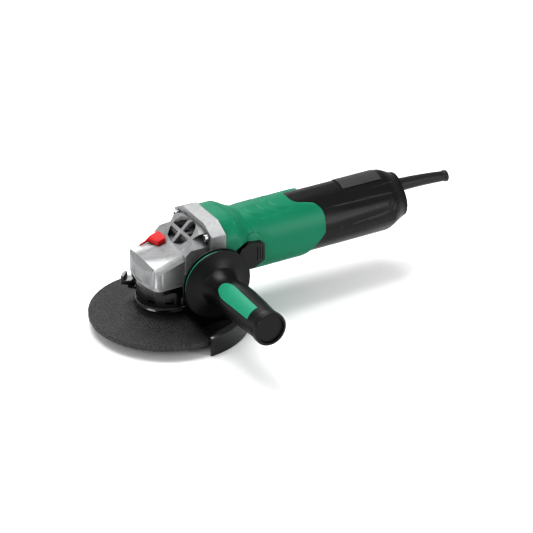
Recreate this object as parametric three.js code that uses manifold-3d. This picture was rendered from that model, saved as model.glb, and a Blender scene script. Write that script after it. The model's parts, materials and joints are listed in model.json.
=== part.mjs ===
// Mains angle grinder with a 150 mm depressed-centre disc, in millimetres, +Z up.
// The spindle turns about Z through the origin, and z = 0 is its lower end face.
// +X runs back along the motor, and the side handle points along -Y.
import * as THREE from 'three';
import { mergeVertices } from 'three/addons/utils/BufferGeometryUtils.js';
import Module from 'manifold-3d';

const wasm = await Module();
wasm.setup();

// ---- driving dimensions ------------------------------------------------------------

// clearances
const touchGap = 0.3;          // between pieces that seat on each other
const runningGap = 0.5;        // round turning pieces

// disc, nut and spindle
const discRadius = 75;
const discThickness = 5.5;
const discDepression = 4.5;    // how far the hub is set above the rim
const discHubRadius = 33;
const discConeWidth = 6;
const discBore = 11.1;
const nutRadius = 19;
const nutThickness = 4.2;
const spindleProud = 0.5;      // spindle end below the nut
const threadRadius = 7;
const flangeRadius = 20;
const flangeThickness = 5;

// gear head
const neckRadius = 27.2;       // round neck that the guard clamps on
const motorAxisHeight = 61;
const headBottom = 42;
const headHalfWidth = 29;
const headFront = 29.5;        // from the spindle axis forwards
const headNoseHeight = 63;     // top face at its front edge
const headTopSlope = THREE.MathUtils.degToRad(16.3);
const headTopHalfWidth = 24;
const headWall = 3.4;
const wallSlope = THREE.MathUtils.degToRad(43);
const wallFoot = 5;            // where the air-outlet wall leaves the top face
const flangeStart = neckRadius + 2.8;       // front face of the flange, behind the guard collar
const flangeEnd = flangeStart + 15;
const flangeHalf = 37;         // half width and half height of the square flange
const flangeTopHalf = 21;      // half width of its flat top
const flangeSideHalf = 28.6;   // half height of its flat sides
const headScrewSide = 29;
const headScrewRise = 25.7;
const headScrewRadius = 2;

// bearing cover and guard
const coverThickness = 4.4;
const neckBottom = 20;
const collarWall = 1.6;
const collarBottom = 18;
const collarTop = 37;
const guardOuter = discRadius + 5;
const guardWall = 1.8;
const guardPlateTop = 13.5;
const guardSkirtBottom = -8.8;
const guardHalfAngle = THREE.MathUtils.degToRad(88);

// motor housing, rear housing and sleeve
const barrelRadius = 32.75;
const barrelWall = 4.2;
const fanRadius = 26;
const fanChamberRadius = fanRadius + 4.5;
const fanChamberEnd = 66;
const ringEnd = 58;
const taperEnd = 76;
const jointAtTop = 134;
const jointTongue = 157;
const rearRadius = barrelRadius - 0.55;
const rearWall = 3;
const rearEnd = 254;
const sleeveEnd = 315;
const sleeveRootRadius = 6.7;
const sleeveTipRadius = 5.1;
const sleeveBore = 3.6;
const sleeveHeight = 72;
const sleeveDroop = 3.5;

// side handle
const handleX = 26;
const handleHeight = 50.5;
const bossFace = 38;            // from the motor's middle plane
const bossRadius = 8.2;
const handleDiscRadius = 34.5;
const handlePlateStart = 47.5;
const damperStart = 51;
const handleFlangeStart = 53.5;
const handleFlangeEnd = 56;
const gripEnd = 154;
const studRadius = 5;

// motor, gears and bearings
const crownTeeth = 41;
const pinionTeeth = 11;
const crownPitchRadius = 22.5;
const crownInnerRadius = 15.5;
const toothCrest = 0.5;        // above the pitch line, at the large end
const toothRoot = 1.05;        // below it
const shaftRadius = 5.9;
const statorRadius = barrelRadius - barrelWall - 0.55;
const statorBore = 17.3;
const stackStart = 80;
const stackEnd = 125;
const fanStart = 48;
const commutatorRadius = 11.5;
const commutatorStart = 139;
const commutatorEnd = 151;

// ---- materials ---------------------------------------------------------------------

function paint(color, roughness, metalness = 0) {
  return new THREE.MeshStandardMaterial({ color, roughness, metalness });
}

const castAluminium = () => paint(0xb4b5b6, 0.45, 0.9);
const greenPlastic = () => paint(0x1f8a66, 0.5);
const blackPlastic = () => paint(0x1c1c1d, 0.45);
const blackSteel = () => paint(0x141415, 0.3, 0.6);
const redPlastic = () => paint(0xc81e1e, 0.35);
const brightSteel = () => paint(0xb9bbbd, 0.25, 1);
const copper = () => paint(0xb06a3a, 0.35, 1);
const lamination = () => paint(0x6d6f72, 0.5, 0.8);
const carbon = () => paint(0x26262a, 0.7);
const blackRubber = () => paint(0x121213, 0.7);
const grit = () => paint(0x2b2b2d, 0.95);
const resin = () => paint(0x2f6f5f, 0.6);

// ---- solids ------------------------------------------------------------------------

/** A closed three.js geometry as a solid that can be joined and cut. */
function solidOf(geometry) {
  const bare = geometry.index ? geometry.toNonIndexed() : geometry.clone();
  bare.deleteAttribute('normal');
  bare.deleteAttribute('uv');
  const merged = mergeVertices(bare, 1e-4);
  return new wasm.Manifold(new wasm.Mesh({
    numProp: 3,
    vertProperties: new Float32Array(merged.attributes.position.array),
    triVerts: new Uint32Array(merged.index.array),
  }));
}

/** A solid as a three.js geometry. */
function geometryOf(solid) {
  const mesh = solid.getMesh();
  const geometry = new THREE.BufferGeometry();
  geometry.setAttribute('position', new THREE.BufferAttribute(mesh.vertProperties, 3));
  geometry.setIndex(new THREE.BufferAttribute(mesh.triVerts, 1));
  geometry.computeVertexNormals();
  return geometry;
}

/** A closed profile of [radius, height] points turned about Z. */
function turned(profile, segments = 20) {
  const points = profile.map(([r, z]) => new THREE.Vector2(r, z));
  const geometry = new THREE.LatheGeometry(points, segments);
  geometry.rotateX(Math.PI / 2);
  return solidOf(geometry);
}

/** A tube or, with no inner radius, a rod along Z. */
function tube(outer, inner, z0, z1, segments = 20) {
  const outline = [[outer, z0], [outer, z1], [inner, z1], [inner, z0], [outer, z0]];
  if (inner === 0) return turned([[0, z0], [outer, z0], [outer, z1], [0, z1]], segments);
  return turned(outline, segments);
}

/** Turns a solid made along Z so that it runs along X, with its local z as x. */
function alongX(solid, height = motorAxisHeight) {
  return solid.rotate(0, 90, 0).translate(0, 0, height);
}

/** Turns a solid made along Z so that it runs towards -Y, with its local z as -y. */
function alongMinusY(solid, x, height) {
  return solid.rotate(90, 0, 0).translate(x, 0, height);
}

/** A THREE.Shape from [a, b] points. */
function outline(points) {
  return new THREE.Shape(points.map(([a, b]) => new THREE.Vector2(a, b)));
}

/** A shape in plan (x, y) between two heights. */
function planPrism(shape, z0, z1, curveSegments = 8) {
  const options = { depth: z1 - z0, bevelEnabled: false, curveSegments };
  return solidOf(new THREE.ExtrudeGeometry(shape, options)).translate(0, 0, z0);
}

/** A shape in side view (x, z) between two values of y. */
function sidePrism(shape, y0, y1, curveSegments = 8) {
  return planPrism(shape, -y1, -y0, curveSegments).rotate(90, 0, 0);
}

/** A shape in end view (y, z) between two values of x. */
function endPrism(shape, x0, x1, curveSegments = 8) {
  return planPrism(shape, x0, x1, curveSegments).rotate(90, 0, 90);
}

/** A box from its two corners. */
function block(x0, x1, y0, y1, z0, z1) {
  const box = solidOf(new THREE.BoxGeometry(x1 - x0, y1 - y0, z1 - z0));
  return box.translate((x0 + x1) / 2, (y0 + y1) / 2, (z0 + z1) / 2);
}

/** A long body along X: section(angle, x) gives the radius, centre(x) the axis height. */
function lofted(stations, section, centre, segments = 32) {
  const steps = stations.length - 1;
  const geometry = new THREE.CylinderGeometry(1, 1, 1, segments, steps);
  const position = geometry.attributes.position;
  for (let i = 0; i < position.count; i += 1) {
    const x = stations[Math.round((position.getY(i) + 0.5) * steps)];
    const reach = Math.hypot(position.getX(i), position.getZ(i));
    const angle = Math.atan2(position.getZ(i), position.getX(i));
    const radius = reach * section(angle, x);
    const y = radius * Math.cos(angle);
    const z = centre(x) - radius * Math.sin(angle);
    position.setXYZ(i, x, y, z);
  }
  return solidOf(geometry);
}

/** Radius of a softened octagon at an angle: half width, half height and corner reach. */
function octagonRadius(angle, width, height, corner, sharpness) {
  const c = Math.abs(Math.cos(angle));
  const s = Math.abs(Math.sin(angle));
  const sum = (c / width) ** sharpness + (s / height) ** sharpness
    + ((c + s) / corner) ** sharpness;
  return sum ** (-1 / sharpness);
}

const model = new THREE.Group();

/** Adds one named piece to the model. */
function add(name, solid, material) {
  const mesh = new THREE.Mesh(geometryOf(solid), material);
  mesh.name = name;
  model.add(mesh);
  return mesh;
}

// ---- gear head ---------------------------------------------------------------------

/** Height of the sloping top face at x. */
function headTopAt(x) {
  return headNoseHeight + (x + headFront) * Math.tan(headTopSlope);
}

/** Plan outline of the head and of the cover under it. */
function headPlan(rearX, shrink = 0) {
  const side = headHalfWidth - shrink;
  const front = headFront - shrink;
  const shape = new THREE.Shape();
  shape.moveTo(rearX, -side);
  shape.lineTo(-front + 12, -side);
  shape.bezierCurveTo(-front + 7, -side, -front + 4, -side + 2, -front + 3.4, -side + 7);
  shape.quadraticCurveTo(-front, -side / 3, -front, 0);
  shape.quadraticCurveTo(-front, side / 3, -front + 3.4, side - 7);
  shape.bezierCurveTo(-front + 4, side - 2, -front + 7, side, -front + 12, side);
  shape.lineTo(rearX, side);
  return shape;
}

/** End outline of the square flange with its bevelled corners. */
function flangeOutline(inset = 0) {
  const half = flangeHalf - inset;
  const top = flangeTopHalf - inset / 2;
  const side = flangeSideHalf - inset / 2;
  const z = motorAxisHeight;
  return outline([[-half, z - side], [-top, z - half], [top, z - half], [half, z - side],
    [half, z + side], [top, z + half], [-top, z + half], [-half, z + side]]);
}

/** The four corners that the flange screws go through, as [y, z]. */
const headScrewPlaces = [[-1, 1], [1, 1], [-1, -1], [1, -1]].map(([side, up]) => (
  [side * headScrewSide, motorAxisHeight + up * headScrewRise]));

/** Corners of the bearing cover that its screws go through, as [x, y]. */
const coverScrewPlaces = [[-18.5, -24], [-18.5, 24], [21, -24], [21, 24]];

// The lock slide sits off the centre line, over the hole circle of the crown gear.
const slideFront = -9.5;
const slideRear = 3.5;
const slideNear = 4.5;         // y of the edge nearer the side handle
const slideFar = 20;
const slideHeight = 5;
const pinX = -4;
const pinY = 11.5;
const pinRadius = 2;

function gearHousing() {
  const rise = Math.tan(headTopSlope);
  const nose = planPrism(headPlan(flangeStart + 1), headBottom, flangeHalf + motorAxisHeight);
  // the sloping top with its bevelled long edges
  const bevel = outline([[-headHalfWidth - 1, -60], [-headHalfWidth - 1, -6],
    [-headTopHalfWidth, 0], [0, 1], [headTopHalfWidth, 0], [headHalfWidth + 1, -6],
    [headHalfWidth + 1, -60]]);
  const slab = endPrism(bevel, -30, 90)
    .rotate(0, -THREE.MathUtils.radToDeg(headTopSlope), 0)
    .translate(-headFront, 0, headNoseHeight);
  let body = nose.intersect(slab);
  // softened front edge of the top
  const brow = sidePrism(outline([[-headFront - 1, headNoseHeight - 9],
    [-headFront + 1, headNoseHeight - 4], [-headFront + 5, headNoseHeight + 5 * rise],
    [-headFront - 1, headNoseHeight + 9]]), -40, 40);
  body = body.subtract(brow);
  // the air-outlet wall that climbs to the flange
  const wallTop = motorAxisHeight + flangeHalf - 1;
  const wallX = (wallTop - headTopAt(wallFoot)) / Math.tan(wallSlope) + wallFoot;
  const wedge = sidePrism(outline([[wallFoot, headTopAt(wallFoot)], [wallX, wallTop],
    [flangeStart + 1, wallTop], [flangeStart + 1, headBottom + 8], [wallFoot, headBottom + 8]]),
  -40, 40);
  body = body.add(wedge.intersect(endPrism(flangeOutline(6), 0, flangeStart + 1)));
  body = body.add(endPrism(flangeOutline(), flangeStart, flangeEnd));
  body = body.add(alongMinusY(tube(bossRadius, 0, headHalfWidth - 3, bossFace), handleX,
    handleHeight));
  body = body.add(alongMinusY(tube(bossRadius, 0, -bossFace, -headHalfWidth + 3), handleX,
    handleHeight));
  // gear space, open below and closed by the bearing cover
  const gearSpace = crownPitchRadius + 3.2;
  body = body.subtract(tube(gearSpace, 0, headBottom - 1, 57.5, 26));
  const upper = sidePrism(outline([[-20, 56], [-20, headTopAt(-20) - headWall],
    [14, headTopAt(14) - headWall], [14, 56]]), -20, 20);
  body = body.subtract(upper.intersect(tube(gearSpace, 0, 50, 80, 26)));
  body = body.add(tube(8.4, 0, 60.5, headTopAt(-8) - 1, 16));
  body = body.subtract(tube(7.3 + touchGap, 0, 60, 67.5, 16));
  // passage for the pinion, seat of the front bearing and the fan side recess
  body = body.subtract(alongX(tube(8.5, 0, 9, flangeStart + 1, 16)));
  body = body.subtract(alongX(tube(16 + touchGap, 0, 30.5, flangeEnd + 1)));
  body = body.subtract(alongX(tube(fanChamberRadius, 0, flangeEnd - 3.5, flangeEnd + 1, 28)));
  // air passage over the bearing and its two outlets, each side of the middle bar
  const duct = sidePrism(outline([[14, motorAxisHeight + 18.5], [flangeEnd + 1,
    motorAxisHeight + 18.5], [flangeEnd + 1, motorAxisHeight + 29],
  [30, motorAxisHeight + 29], [14, motorAxisHeight + 19.5]]), -18, 18);
  body = body.subtract(duct);
  for (const side of [-1, 1]) {
    const slot = outline([[side * 2.2, wallFoot + 2], [side * 12.5, wallFoot + 4],
      [side * 16.5, wallFoot + 9], [side * 17, wallFoot + 15], [side * 14, wallFoot + 20],
      [side * 8, wallFoot + 23.5], [side * 2.2, wallFoot + 24.5]].map(([y, x]) => [x, y]));
    const cut = planPrism(slot, motorAxisHeight + 12.5, 110);
    const rib = block(wallFoot + 10.5, wallFoot + 12.8, -20, 20, 60, 110);
    body = body.subtract(cut.subtract(rib));
  }
  for (const [y, z] of headScrewPlaces) {
    body = body.subtract(alongX(tube(headScrewRadius + touchGap, 0, flangeStart - 2,
      flangeEnd + 1, 12), z).translate(0, y, 0));
  }
  // triangular pockets that give room for the two upper screws
  for (const side of [-1, 1]) {
    const pocket = outline([[side * 21.5, 84.5], [side * 40, 72], [side * 40, 97],
      [side * 28, 94]]);
    body = body.subtract(endPrism(pocket, 6, flangeStart));
  }
  for (const [x, y] of coverScrewPlaces) {
    body = body.subtract(tube(1.8 + touchGap, 0, headBottom - 1, 51, 12).translate(x, y, 0));
  }
  // plain recessed panel on the nose
  const nose0 = headBottom + 2;
  const panel = endPrism(outline([[-6.5, nose0], [6.5, nose0], [8.5, nose0 + 13],
    [5, nose0 + 16], [-5, nose0 + 16], [-8.5, nose0 + 13]]), -50, -headFront + 0.7);
  body = body.subtract(panel);
  // threaded holes for the handle stud on both sides
  for (const side of [-1, 1]) {
    const hole = alongMinusY(tube(studRadius + touchGap, 0, bossFace - 7, bossFace + 1, 20),
      handleX, handleHeight);
    body = body.subtract(side < 0 ? hole : hole.mirror([0, 1, 0]));
  }
  // pin bore under the slide
  body = body.subtract(tube(pinRadius + touchGap, 0, 55, 90, 16).translate(pinX, pinY, 0));
  return body;
}

function bearingCover() {
  const top = headBottom - touchGap;
  let body = planPrism(headPlan(flangeStart - 5, 0.6), top - coverThickness, top);
  body = body.add(tube(neckRadius, 0, neckBottom, top - 1, 26));
  body = body.subtract(tube(17.5 + touchGap, 0, neckBottom + 4, top + 1, 26));
  body = body.subtract(tube(11, 0, neckBottom - 1, top, 16));
  for (const [x, y] of coverScrewPlaces) {
    body = body.subtract(tube(1.8 + touchGap, 0, 30, top + 1, 12).translate(x, y, 0));
    body = body.subtract(tube(3.2 + touchGap, 0, 30, top - 1.6, 12).translate(x, y, 0));
  }
  return body;
}

function coverScrew() {
  const top = headBottom - touchGap;
  return turned([[0, top - coverThickness], [3.2, top - coverThickness], [3.2, top - 1.9],
    [1.8, top - 1.9], [1.8, 50], [0, 50]], 12);
}

function headScrew() {
  return turned([[0, flangeStart - 4.3], [3.8, flangeStart - 4.3], [3.8, flangeStart - touchGap],
    [headScrewRadius, flangeStart - touchGap], [headScrewRadius, ringEnd - 2],
    [0, ringEnd - 2]], 12);
}

function lockSlide() {
  const base = touchGap + 1.0;
  const plan = outline([[slideFront, slideFar], [slideFront + 4, slideNear],
    [slideRear - 1, slideNear], [slideRear, slideNear + 2], [slideRear, slideFar]]);
  let body = planPrism(plan, 0, 40);
  const arm = block(slideFront - 7.5, slideFront + 1, slideFar - 1.4, slideFar, 0, 40);
  body = body.add(arm);
  const rise = Math.tan(headTopSlope);
  const low = (x) => headTopAt(x) + base;
  const slab = outline([[-20, low(-20)], [10, low(10)], [10, low(10) + slideHeight],
    [slideFront + 4, low(slideFront + 4) + slideHeight], [slideFront - 2, low(slideFront) + 1.6],
    [-20, low(-20) + 1.6 - rise]]);
  body = body.translate(0, 0, 50).intersect(sidePrism(slab, -30, 30));
  return body;
}

function lockPin() {
  return tube(pinRadius, 0, 57, headTopAt(pinX) + 0.6, 16).translate(pinX, pinY, 0);
}

/** A coil spring standing on z0 around a pin. */
function coilSpring(radius, wire, z0, z1, turns) {
  class Helix extends THREE.Curve {
    getPoint(t, target = new THREE.Vector3()) {
      const angle = t * turns * 2 * Math.PI;
      return target.set(radius * Math.cos(angle), radius * Math.sin(angle), z0 + t * (z1 - z0));
    }
  }
  const section = new THREE.Shape().absarc(0, 0, wire, 0, 2 * Math.PI, false);
  const options = {
    steps: turns * 9, extrudePath: new Helix(), bevelEnabled: false, curveSegments: 3,
  };
  return solidOf(new THREE.ExtrudeGeometry(section, options));
}

// ---- spindle group -----------------------------------------------------------------

const hubTop = spindleProud + discThickness + discDepression;
const hubBottom = spindleProud + discDepression;
const flangeBase = hubTop + touchGap;

function grindingDisc() {
  const rimTop = spindleProud + discThickness;
  const cone = discHubRadius + discConeWidth;
  return turned([[discBore + touchGap, hubBottom], [discHubRadius - 1, hubBottom],
    [cone - 1.5, spindleProud], [discRadius, spindleProud], [discRadius, rimTop],
    [cone, rimTop], [discHubRadius, hubTop], [discBore + touchGap, hubTop],
    [discBore + touchGap, hubBottom]], 48);
}

function spindle() {
  return turned([[0, 0], [threadRadius - 1, 0], [threadRadius, 1], [threadRadius, 16.6],
    [7.5, 16.6], [7.5, 42.4], [9.8, 42.4], [9.8, 43.7], [7.5, 43.7], [7.5, 52],
    [4.7, 53], [4.7, 67], [0, 67]], 18);
}

function innerFlange() {
  const bore = threadRadius + touchGap;
  return turned([[bore, flangeBase - 3], [discBore - runningGap, flangeBase - 3],
    [discBore - runningGap, flangeBase], [flangeRadius, flangeBase],
    [flangeRadius, flangeBase + flangeThickness - 1.5], [12, flangeBase + flangeThickness],
    [bore, flangeBase + flangeThickness], [bore, flangeBase - 3]], 26);
}

function clampingNut() {
  const top = spindleProud + nutThickness;
  const bore = threadRadius + touchGap;
  let body = turned([[bore, spindleProud], [nutRadius - 1, spindleProud], [nutRadius, 1.5],
    [nutRadius, top], [bore, top], [bore, spindleProud]], 26);
  for (const side of [-1, 1]) {
    body = body.subtract(tube(2.5, 0, 0, top - 1, 12).translate(0, side * 14, 0));
  }
  return body;
}

function bearingRings(inner, outer, z0, z1) {
  const depth = (outer - inner) / 3;
  return {
    outer: tube(outer, outer - depth, z0, z1, 20),
    inner: tube(inner + depth, inner, z0, z1, 18),
    cage: tube(outer - depth - touchGap, inner + depth + touchGap, z0 + 1.5, z1 - 1.5, 18),
  };
}

/** Pitch line of the crown gear: the cone whose tip is where the two axes cross. */
function pitchHeight(radius) {
  return motorAxisHeight - radius * (pinionTeeth / crownTeeth);
}

function crownGear() {
  const outer = crownPitchRadius + 0.8;
  const rings = [[7.5 + touchGap, 44], [outer, 44], [outer, 0], [crownInnerRadius, 0],
    [crownInnerRadius - 2, 51.5], [7.5 + touchGap, 51.5], [7.5 + touchGap, 44]];
  const points = rings.map(([r, z]) => new THREE.Vector2(r, z));
  const geometry = new THREE.LatheGeometry(points, crownTeeth * 2);
  geometry.rotateX(Math.PI / 2);
  const position = geometry.attributes.position;
  for (let i = 0; i < position.count; i += 1) {
    if (Math.abs(position.getZ(i)) > 1) continue;
    const radius = Math.hypot(position.getX(i), position.getY(i));
    const column = Math.floor(i / rings.length) % 2;
    const tooth = column === 0 ? -toothRoot : toothCrest;
    position.setZ(i, pitchHeight(radius) + tooth * (radius / crownPitchRadius));
  }
  return solidOf(geometry);
}


function pinionGear() {
  // turned so that a gap between its teeth faces a tooth of the crown gear
  const pinionPhase = 180 / pinionTeeth;
  const start = crownInnerRadius + 0.3;
  const end = crownPitchRadius + 0.5;
  const radial = pinionTeeth * 2;
  const geometry = new THREE.CylinderGeometry(1, 1, end - start, radial, 1);
  const position = geometry.attributes.position;
  for (let i = 0; i < position.count; i += 1) {
    const x = position.getY(i) > 0 ? end : start;
    const angle = Math.atan2(position.getX(i), position.getZ(i));
    const column = Math.round(angle / (2 * Math.PI) * radial + radial) % 2;
    const tooth = column === 0 ? toothCrest : -toothRoot;
    const scale = x / crownPitchRadius;
    const radius = crownPitchRadius * (pinionTeeth / crownTeeth) + tooth;
    const reach = Math.hypot(position.getX(i), position.getZ(i));
    position.setX(i, Math.sin(angle) * reach * radius * scale);
    position.setZ(i, Math.cos(angle) * reach * radius * scale);
    position.setY(i, x);
  }
  // the cylinder's length becomes x and its tooth at +z points down at the crown gear
  geometry.rotateX(Math.PI / 2);
  const body = solidOf(geometry).subtract(tube(2.5 + touchGap, 0, 10, 30, 16));
  return body.rotate(0, 90, 0).rotate(pinionPhase, 0, 0).translate(0, 0, motorAxisHeight);
}



// ---- armature group ----------------------------------------------------------------

function armatureShaft() {
  return alongX(turned([[0, 14.5], [2.5, 14.5], [2.5, 23.5], [shaftRadius, 24.5],
    [shaftRadius, 154], [3.9, 155], [3.9, 164.5], [0, 164.5]], 16));
}

function armatureCore() {
  const slots = 12;
  const shape = new THREE.Shape();
  const outer = statorBore - runningGap;
  for (let i = 0; i < slots; i += 1) {
    const step = (2 * Math.PI) / slots;
    const places = [[outer, 0.06], [outer, 0.5], [outer, 0.94], [10.5, 0.94], [10.5, 1.06]];
    for (const [radius, part] of places) {
      const angle = (i + part) * step;
      const x = radius * Math.cos(angle);
      const y = radius * Math.sin(angle);
      if (i === 0 && radius === outer && part === 0.06) shape.moveTo(x, y);
      else shape.lineTo(x, y);
    }
  }
  const bored = planPrism(shape, stackStart, stackEnd).subtract(
    tube(shaftRadius + touchGap, 0, stackStart - 1, stackEnd + 1, 16));
  return alongX(bored);
}

function windingEnd(x0, x1) {
  const bore = shaftRadius + touchGap;
  const mid = (x0 + x1) / 2;
  return alongX(turned([[bore, x0], [12.5, x0], [15, mid], [14.5, x1], [bore, x1], [bore, x0]],
    16));
}

function commutator() {
  return alongX(tube(commutatorRadius, shaftRadius + touchGap, commutatorStart, commutatorEnd,
    16));
}

function fan() {
  let body = tube(fanRadius, shaftRadius + touchGap, fanStart + 8, fanStart + 10, 26);
  body = body.add(tube(10, shaftRadius + touchGap, fanStart, fanStart + 9, 16));
  for (let i = 0; i < 11; i += 1) {
    const blade = block(9, fanRadius - 0.6, -0.8, 0.8, fanStart + 1, fanStart + 9);
    body = body.add(blade.rotate(0, 0, (i * 360) / 11));
  }
  return alongX(body);
}

function statorCore() {
  const length = [stackStart - 1, stackEnd + 1];
  let body = tube(statorRadius, statorRadius - 5, stackStart, stackEnd, 28);
  const shoes = tube(statorBore + 3, statorBore, stackStart, stackEnd, 28);
  const stem = tube(statorRadius - 4, statorBore, stackStart, stackEnd, 28);
  for (const side of [-1, 1]) {
    const wedge = planPrism(outline([[0, 0], [side * 30, -24], [side * 30, 24]]), ...length);
    const narrow = block(side < 0 ? -30 : 0, side < 0 ? 0 : 30, -8.5, 8.5, ...length);
    body = body.add(shoes.intersect(wedge)).add(stem.intersect(narrow));
  }
  return alongX(body);
}

/** Racetrack coil that bends round one stator pole; side is 1 above the shaft, -1 below. */
function fieldCoil(side) {
  const shell = alongX(tube(statorRadius - 5.4, statorBore + 3.4, stackStart - 6, stackEnd + 6, 28));
  const ring = block(stackStart - 5.5, stackEnd + 5.5, -17, 17, 0, 120)
    .subtract(block(stackStart - 0.6, stackEnd + 0.6, -9, 9, -1, 121));
  const half = side > 0 ? block(0, 200, -40, 40, motorAxisHeight, 120)
    : block(0, 200, -40, 40, 0, motorAxisHeight);
  return shell.intersect(ring).intersect(half);
}

function airBaffle() {
  return alongX(tube(fanChamberRadius - touchGap, statorRadius - 5, fanChamberEnd - 5, fanChamberEnd - 3,
    28));
}

/** Brass tube that guides one carbon brush; side is 1 towards +Y. */
function brushHolder(side) {
  const x = (commutatorStart + commutatorEnd) / 2;
  const z = motorAxisHeight;
  const outer = block(x - 4.6, x + 4.6, commutatorRadius + 2, 27, z - 4.1, z + 4.1);
  const bore = block(x - 3.6, x + 3.6, commutatorRadius, 28, z - 3.1, z + 3.1);
  const holder = outer.subtract(bore);
  return side > 0 ? holder : holder.mirror([0, 1, 0]);
}

function carbonBrush(side) {
  const x = (commutatorStart + commutatorEnd) / 2;
  const z = motorAxisHeight;
  const brush = block(x - 3.2, x + 3.2, commutatorRadius + 0.4, 22, z - 2.7, z + 2.7);
  return side > 0 ? brush : brush.mirror([0, 1, 0]);
}

// ---- motor housing, rear housing and switch ----------------------------------------

const axisAt = () => motorAxisHeight;

/** Outline of the joint between the two housings, seen from the side. */
function jointOutline(shift) {
  const z = motorAxisHeight;
  const shape = new THREE.Shape();
  shape.moveTo(jointAtTop - 5 + shift, z + 45);
  shape.lineTo(jointAtTop - 4 + shift, z + 31.5);
  shape.quadraticCurveTo(jointAtTop + shift, z + 28, jointAtTop + 8 + shift, z + 27.5);
  shape.lineTo(jointTongue - 5 + shift, z + 25.5);
  shape.quadraticCurveTo(jointTongue + shift, z + 24, jointTongue + 0.5 + shift, z + 16);
  shape.lineTo(jointTongue - 0.5 + shift, z);
  shape.lineTo(jointTongue - 9 + shift, z - 12);
  shape.lineTo(jointAtTop + 2 + shift, z - 30);
  shape.lineTo(jointAtTop + 2 + shift, z - 45);
  shape.lineTo(0, z - 45);
  shape.lineTo(0, z + 45);
  return shape;
}

const slideFace = barrelRadius + 3.65;   // how far the switch slider stands out from the motor axis
const sliderTravel = 8;
const rodOuter = -barrelRadius + 3.35;
const rodInner = -barrelRadius + 4.75;
const rodLow = 52;
const rodHigh = 56;

/** Side outline of the switch slider, moved forward and grown by a clearance. */
function sliderOutline(forward, grow) {
  const shoulder = forward > 0 ? [[72 - forward, 72.5 + grow]] : [];
  return outline([[87 + grow, 51.5 - grow], [87 + grow, 68.5 + grow], [84, 71 + grow],
    [72, 72.5 + grow], ...shoulder, [62 - forward - grow, 69 + grow], [58.5 - forward - grow, 62],
    [60 - forward - grow, 52], [66 - forward, 46 - grow], [76, 46 - grow],
    [84 + grow, 50 - grow]]);
}

function motorHousing() {
  const stations = [flangeEnd + touchGap, 50, ringEnd, 61, 64, 67, 70, 73, taperEnd, 85, 100,
    120, 140, 165];
  const section = (angle, x) => {
    const ring = octagonRadius(angle, flangeHalf, flangeHalf, 58.5, 16);
    const t = THREE.MathUtils.smoothstep(x, ringEnd, taperEnd);
    return ring * (1 - t) + barrelRadius * t;
  };
  let body = lofted(stations, section, axisAt, 48);
  body = body.intersect(sidePrism(jointOutline(0), -60, 60));
  body = body.subtract(alongX(tube(fanChamberRadius, 0, flangeEnd, fanChamberEnd, 28)));
  body = body.subtract(alongX(tube(barrelRadius - barrelWall, 0, fanChamberEnd - 1, 170, 28)));
  // ledge that the air baffle rests on
  body = body.add(alongX(tube(fanChamberRadius + 0.5, 26, fanChamberEnd - 2.5,
    fanChamberEnd - 0.5, 28)));
  for (const [y, z] of headScrewPlaces) {
    body = body.subtract(alongX(tube(headScrewRadius + touchGap, 0, flangeEnd, ringEnd - 1, 12),
      z).translate(0, y, 0));
  }
  const sweep = sidePrism(sliderOutline(sliderTravel, 0.6), -45, -20);
  const kept = alongX(tube(barrelRadius + 0.05, 0, 40, 100, 28));
  body = body.subtract(sweep.subtract(kept));
  // slot for the foot of the switch rod and the channel that it runs in
  body = body.subtract(block(71 - sliderTravel, 79, -slideFace, rodInner + 2, rodLow - 0.4, rodHigh + 0.4));
  body = body.subtract(block(61, 160, rodOuter - 0.5, rodInner + 2, rodLow - 0.4, rodHigh + 0.4));
  return body;
}

function switchSlider() {
  let body = sidePrism(sliderOutline(0, 0), -slideFace, -25);
  body = body.subtract(alongX(tube(barrelRadius + 0.45, 0, 40, 100, 28)));
  body = body.subtract(block(71.6, 78.4, -barrelRadius - 1.45, -20, rodLow - 0.3, rodHigh + 0.3));
  for (let i = 0; i < 3; i += 1) {
    const x = 78.5 + i * 2.8;
    body = body.subtract(block(x, x + 1, -slideFace - 1, -slideFace + 0.7, 53, 67));
  }
  return body;
}

function switchRod() {
  const foot = -barrelRadius - 1.05;
  const path = outline([[72, foot], [78, foot], [78, rodOuter], [135, rodOuter], [140, -24.8],
    [170, -24.8], [170, -23.4], [139, -23.4], [134, rodInner], [72, rodInner]]);
  return planPrism(path, rodLow, rodHigh);
}

/** Height of the rear housing's centre and its radius at x. */
function rearSection(angle, x) {
  const t = THREE.MathUtils.smoothstep(x, 236, rearEnd);
  const size = rearRadius - 6.5 * t;
  return octagonRadius(angle, size, size, size * 1.3, 9);
}

function rearShell() {
  const stations = [126, 150, 175, 200, 225, 238, 243, 248, rearEnd];
  let body = lofted(stations, rearSection, axisAt, 48);
  // lower rear corner slopes up behind a small foot
  body = body.subtract(sidePrism(outline([[229, 20], [rearEnd + 4, 57], [rearEnd + 4, 0],
    [229, 0]]), -60, 60));
  return body;
}

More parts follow.
